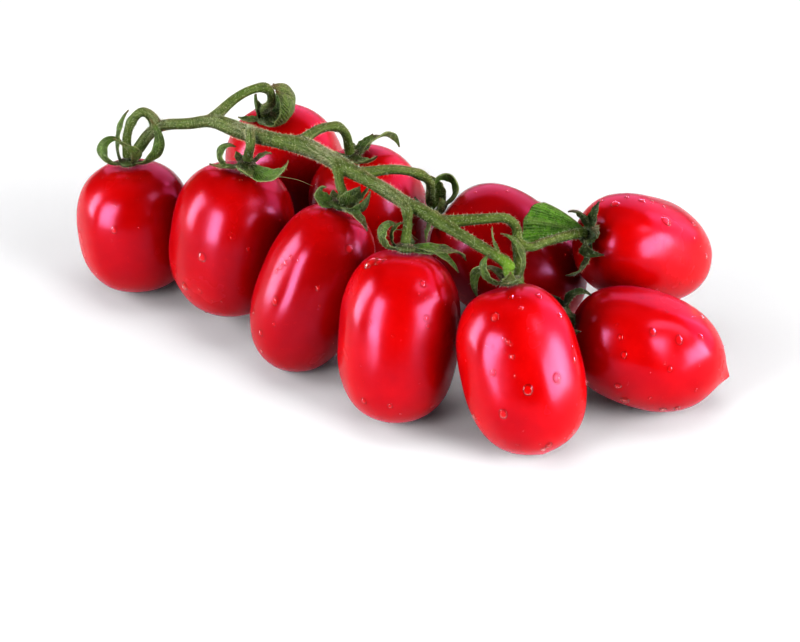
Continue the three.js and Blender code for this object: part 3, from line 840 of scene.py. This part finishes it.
def make_hairs(name, carrier, count, crowd, seed):
    """Hairs over the faces of a piece, denser where its attribute named crowd is high, as one mesh."""
    draw = random.Random(seed)
    faces = carrier.data.polygons
    dense = carrier.data.attributes[crowd].data
    weights = [face.area * (1 + FELT_HAIRS * dense[face.vertices[0]].value) for face in faces]
    chosen = draw.choices(range(len(faces)), weights=weights, k=count)
    vertices = []
    triangles = []
    for index in chosen:
        face = faces[index]
        lean = Vector((draw.gauss(0, 1), draw.gauss(0, 1), draw.gauss(0, 1))) * HAIR_LEAN
        up = (face.normal + lean).normalized()
        side = up.orthogonal().normalized()
        foot = face.center - up * (HAIR_SINK * MM)
        first = len(vertices)
        for third in range(3):
            vertices.append(foot + Quaternion(up, third * 2 * math.pi / 3) @ side * (HAIR_FOOT * MM))
        vertices.append(foot + up * (draw.uniform(*HAIR_LENGTHS) * MM))
        triangles += [(first, first + 1, first + 3), (first + 1, first + 2, first + 3)]
        triangles += [(first + 2, first, first + 3), (first + 2, first + 1, first)]
    mesh = bpy.data.meshes.new(name)
    mesh.from_pydata(vertices, [], triangles)
    mesh.materials.append(hair)
    piece = bpy.data.objects.new(name, mesh)
    bpy.context.collection.objects.link(piece)
    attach(piece, "root")


make_hairs("vine_hairs", vine, VINE_HAIRS, "felt", VINE_HAIR_SEED)
for number, calyx in calyx_pieces.items():
    seed = CALYX_HAIR_SEED + int(number)
    make_hairs("sepal_hairs_" + number, calyx, CALYX_HAIRS, "deep", seed)


# The threads. Two calyces keep a dry, hair-thin thread, a shred of the flower that once stood there. It is
# a fibre that thins to one end, and it lies where it dried, on or beside the sepals.
THREAD_RADIUS = 0.14
THREAD_START = 1.3  # share of that radius at the thick end
THREAD_PATCH = 2 * MM

# points of each thread, from its thick end to its thin one
THREADS = {
    "02": [(-39.5, -1.6, 47), (-34.2, 0.7, 46.5), (-30, 1.8, 45.5)],
    "04": [(1.7, -5.8, 46.5), (5.3, -5.1, 46.8), (9.9, -5.8, 46)],
}

# Dry plant fibre: withered and matte. The eye sees a thin line that changes from olive to straw.
thread, thread_shader, thread_place = new_material("dry_thread")
thread_tones = add_node(
    thread, "ShaderNodeTexNoise", {"Scale": 1 / THREAD_PATCH, "Detail": 1}, {"Vector": thread_place})
thread_colour = add_node(
    thread, "ShaderNodeMix", {"data_type": "RGBA", 6: linear("4a4a24"), 7: linear("9a9668")},
    {0: thread_tones.outputs["Fac"]})
link(thread, thread_colour.outputs[2], thread_shader, "Base Color")
thread_shader.inputs["Roughness"].default_value = 0.6


def thread_radius(share):
    """The radius of a thread at a share of its length."""
    return THREAD_RADIUS * (THREAD_START - share)


for number, places in THREADS.items():
    shred = make_rod(smooth_line(places), thread_radius)
    select_only([shred])
    bpy.ops.object.convert(target="MESH")
    bpy.ops.object.shade_smooth()
    shred.name = "thread_" + number
    shred.data.materials.append(thread)
    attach(shred, "root")


# The drops. The fruits were sprayed, and beads of clear water cling to the skin, flattened where they sit
# and a little longer downhill. The larger ones sit where the photo shows them, with finer ones all round.
CAMERA_HEADING = 306  # the way from the truss to the camera
CAMERA_HEIGHT = 32
CAMERA_DISTANCE = 0.64
AIM = (Vector((0, 0, 15)) - FOOTPRINT_MIDDLE) * MM
LENS = 108
SENSOR_WIDTH = 36
PHOTO_WIDTH = 800  # pixels
PHOTO_MIDDLE = Vector((400, 321))  # pixels across and down
PHOTO_FOCUS = PHOTO_WIDTH * LENS / SENSOR_WIDTH  # focal length in pixels
DROP_BALL = 1.15  # radius of the ball that a bead is the cap of, as a share of the bead's own
DROP_SINK = 0.58  # how deep the middle of that ball lies under the skin, as the same share
DROP_RUN = 1.15  # how much longer a bead is downhill
DROP_WIDTHS = (0.85, 1.05)  # how wide a bead is across the slope, as a share of a round one
DROP_ROUNDS = 3
RIM_START = 0.6  # share of a bead's radius where its side turns steep and its painted dark rim begins
FINE_DROPS = 30
FINE_RADII = (0.16, 0.45)
FINE_ROUNDS = 2
LOWEST_DROP = 1.5  # height above the table under which no fine drop sits
DROP_SEED = 300

# pixels across and down in the photo, and radius in millimetres
DROPS_SEEN = {
    "01": [
        (114, 230, 1), (79, 249, 0.9), (80, 265, 0.7), (89, 278, 0.6), (115, 206, 0.4), (139, 228, 0.5),
        (112, 240, 0.4),
    ],
    "02": [
        (202, 257, 1.3), (248, 249, 0.7), (200, 291, 0.7), (185, 286, 1.2), (206, 312, 0.5), (231, 238, 0.4),
        (190, 296, 0.5), (222, 302, 0.4),
    ],
    "03": [
        (277, 271, 0.7), (281, 267, 0.8), (286, 263, 0.8), (291, 258, 0.6), (349, 249, 1.1), (275, 301, 1.2),
        (318, 288, 0.8), (274, 324, 0.7), (261, 333, 0.9), (320, 306, 0.5), (254, 312, 0.6), (262, 351, 0.6),
    ],
    "04": [
        (371, 263, 1.9), (379, 262, 1.2), (384, 260, 0.6), (423, 284, 0.9), (425, 298, 0.5), (426, 318, 0.8),
        (428, 326, 0.7), (364, 401, 0.9), (390, 406, 0.8), (419, 294, 0.4), (371, 322, 0.6), (358, 412, 0.5),
        (445, 305, 0.4),
    ],
    "05": [
        (511, 297, 0.8), (539, 296, 0.9), (495, 317, 1.1), (504, 339, 0.6), (508, 342, 0.7), (511, 345, 0.5),
        (512, 357, 0.7), (493, 373, 0.9), (557, 378, 1.3), (528, 390, 1.3), (560, 316, 0.9), (574, 360, 0.8),
        (586, 383, 0.7), (503, 414, 1.2), (474, 417, 0.8), (549, 445, 1), (543, 449, 0.8), (521, 308, 0.6),
        (486, 346, 0.5), (572, 347, 0.6), (515, 376, 0.4), (573, 432, 0.7), (518, 445, 0.4),
    ],
    "08": [(533, 197, 0.8), (507, 191, 0.6), (540, 203, 0.6)],
    "09": [
        (615, 204, 1.2), (627, 197, 0.8), (642, 201, 0.9), (666, 221, 1.4), (693, 224, 0.7), (706, 256, 0.7),
        (652, 257, 0.5), (648, 258, 0.4), (652, 201, 0.6), (664, 207, 0.5), (694, 238, 0.5), (700, 246, 0.4),
        (602, 201, 0.6), (682, 229, 0.4),
    ],
    "10": [
        (653, 332, 1), (679, 340, 1.2), (624, 355, 0.9), (701, 337, 0.9), (670, 369, 0.8), (618, 386, 1),
        (625, 400, 1.3), (663, 409, 1), (677, 408, 1), (650, 398, 0.6), (620, 337, 0.7), (673, 356, 0.4),
        (665, 363, 0.5), (702, 317, 0.8), (699, 366, 0.5), (696, 390, 0.5), (616, 325, 0.4), (650, 373, 0.4),
    ],
}

# Clear water: the eye sees a small glint, a dark rim and the red below. The dark rim is painted shade, and a
# faint warm emission over the whole bead is a painted glow.
water, water_shader, _ = new_material("clear_water")
water_shader.inputs["Base Color"].default_value = (1, 1, 1, 1)
water_shader.inputs["Roughness"].default_value = 0.02
water_shader.inputs["IOR"].default_value = 1.33
water_shader.inputs["Specular IOR Level"].default_value = 0.8
water_shader.inputs["Transmission Weight"].default_value = 1
# a painted glow: the whole bead gives off a faint warm red light
water_shader.inputs["Emission Color"].default_value = linear("ff2a12")
water_shader.inputs["Emission Strength"].default_value = 0.4
CLEAR_SHARE = 0.72  # share of what lies behind that is seen unbent
rimward = add_node(water, "ShaderNodeAttribute", {"attribute_name": "rim"}).outputs["Fac"]
# painted shade: the rim lets less through, so it shows dark
painted_rim_shade = add_node(
    water, "ShaderNodeMix", {"data_type": "RGBA", 6: (1, 1, 1, 1), 7: linear("4a3a38")}, {0: rimward})
let_through = add_node(
    water, "ShaderNodeBsdfTransparent", links={"Color": painted_rim_shade.outputs[2]}).outputs[0]
bead = add_node(
    water, "ShaderNodeMixShader", {0: CLEAR_SHARE}, {1: water_shader.outputs[0], 2: let_through})
link(water, bead.outputs[0], water.node_tree.nodes["Material Output"], "Surface")


def seen_from(heading, height, distance):
    """A place round the aim point, by its heading and height in degrees and its distance in metres."""
    return AIM + distance * pointing(heading, 90 - height)


CAMERA_PLACE = seen_from(CAMERA_HEADING, CAMERA_HEIGHT, CAMERA_DISTANCE)


def line_of_sight(across, down):
    """The way from the camera through a pixel of the photo."""
    ahead = (AIM - CAMERA_PLACE).normalized()
    right = ahead.cross(Vector((0, 0, 1))).normalized()
    above = right.cross(ahead)
    aside, below = Vector((across, down)) - PHOTO_MIDDLE
    return (ahead * PHOTO_FOCUS + right * aside - above * below).normalized()


def make_drop(place, normal, radius, rounds, draw):
    """One bead on the skin: the cap of a ball that is mostly sunk in the flesh."""
    bpy.ops.mesh.primitive_ico_sphere_add(subdivisions=rounds, radius=radius * DROP_BALL * MM)
    drop = bpy.context.object
    sideways = normal.cross(Vector((0, 0, 1))).normalized()
    downhill = sideways.cross(normal)
    squeeze = draw.uniform(*DROP_WIDTHS)
    middle = place - normal * (radius * DROP_SINK * MM)
    rims, = add_values(drop.data, rim="FLOAT")
    for vertex in drop.data.vertices:
        x, y, z = vertex.co
        steepness = math.hypot(x, y) / (radius * MM)
        rims[vertex.index].value = min(max((steepness - RIM_START) / (1 - RIM_START), 0), 1)
        vertex.co = middle + sideways * (x * squeeze) + downhill * (y * DROP_RUN) + normal * z
    return drop


for number, fruit in fruit_pieces.items():
    draw = random.Random(DROP_SEED + int(number))
    surface = BVHTree.FromObject(fruit, bpy.context.evaluated_depsgraph_get())
    drops = []
    for across, down, radius in DROPS_SEEN.get(number, []):
        place, normal, _, _ = surface.ray_cast(CAMERA_PLACE, line_of_sight(across, down))
        if place:
            drops.append(make_drop(place, normal, radius, DROP_ROUNDS, draw))
    faces = [face for face in fruit.data.polygons if face.center.z > LOWEST_DROP * MM]
    for face in draw.choices(faces, weights=[face.area for face in faces], k=FINE_DROPS):
        drops.append(make_drop(face.center, face.normal, draw.uniform(*FINE_RADII), FINE_ROUNDS, draw))
    select_only(drops)
    bpy.ops.object.join()
    bpy.ops.object.shade_smooth()
    drops[0].name = "drops_" + number
    drops[0].data.materials.append(water)
    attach(drops[0], "root")


# The stage. A seamless white table under large soft boxes, seen from above the front of the truss. Some
# boxes and cards stand there only to be mirrored in the skins, and some only to light the scene.
FLOOR_SIZE = 6
bpy.ops.mesh.primitive_plane_add(size=FLOOR_SIZE)
floor = bpy.context.object
floor.name = "floor"

# White paper: uncoated and even. The eye sees no gloss, only the soft shadows of the fruits.
paper, paper_shader, _ = new_material("white_paper")
paper_shader.inputs["Base Color"].default_value = linear("f4f4f5")
paper_shader.inputs["Roughness"].default_value = 0.9
paper_shader.inputs["Specular IOR Level"].default_value = 0
floor.data.materials.append(paper)

world = bpy.data.worlds.new("studio")
bpy.context.scene.world = world
world.use_nodes = True
sky = world.node_tree.nodes["Background"]
sky.inputs["Color"].default_value = (1, 1, 1, 1)
sky.inputs["Strength"].default_value = 0.07


def add_soft_box(name, side, height, distance, wide, tall, watts, mirrored=True, lit=True, tint="ffffff"):
    """An area light that faces the truss, side degrees to the right of the camera, or left if below zero."""
    light = bpy.data.lights.new(name, "AREA")
    light.shape = "RECTANGLE"
    light.size = wide
    light.size_y = tall
    light.energy = watts
    light.color = linear(tint)[:3]
    box = bpy.data.objects.new(name, light)
    box.location = seen_from(CAMERA_HEADING + side, height, distance)
    box.rotation_euler = (AIM - box.location).to_track_quat("-Z", "Y").to_euler()
    box.visible_camera = False
    box.visible_glossy = mirrored  # whether it shows in the gloss of the skins
    box.visible_diffuse = lit  # whether it lights what it faces
    bpy.context.collection.objects.link(box)


# degrees to the right and up, metres away, width and height in metres, watts
add_soft_box("left_box", -92, 18, 1.2, 0.5, 0.86, 8)
add_soft_box("left_shine", -92, 18, 1.19, 0.5, 0.86, 7.5, lit=False)
add_soft_box("front_left_box", -46, 18, 1.2, 0.5, 0.86, 8.5)
add_soft_box("front_left_shine", -46, 18, 1.19, 0.5, 0.86, 10, lit=False)
add_soft_box("right_box", 64, 14, 1.2, 1.1, 0.52, 17)
add_soft_box("right_shine", 64, 14, 1.19, 1.1, 0.52, 4, lit=False)
add_soft_box("high_shine", 70, 47, 1.3, 0.45, 0.35, 2.2, lit=False)
add_soft_box("right_card", 106, 22, 1.5, 1.5, 1.1, 18, lit=False, tint="ff9cc8")
add_soft_box("back_card", 165, 26, 1.5, 2.2, 1.2, 18, lit=False, tint="ff9cc8")
add_soft_box("fill_box", 52, 40, 1.4, 0.8, 0.8, 3.2, mirrored=False)
add_soft_box("top_box", 170, 80, 1.6, 1.6, 1.0, 7, mirrored=False)

camera_data = bpy.data.cameras.new("camera")
camera_data.lens = LENS
camera_data.sensor_width = SENSOR_WIDTH
camera = bpy.data.objects.new("camera", camera_data)
camera.location = CAMERA_PLACE
camera.rotation_euler = (AIM - camera.location).to_track_quat("-Z", "Y").to_euler()
bpy.context.collection.objects.link(camera)
bpy.context.scene.camera = camera
bpy.context.scene.view_settings.view_transform = "Standard"
bpy.context.scene.view_settings.look = "High Contrast"
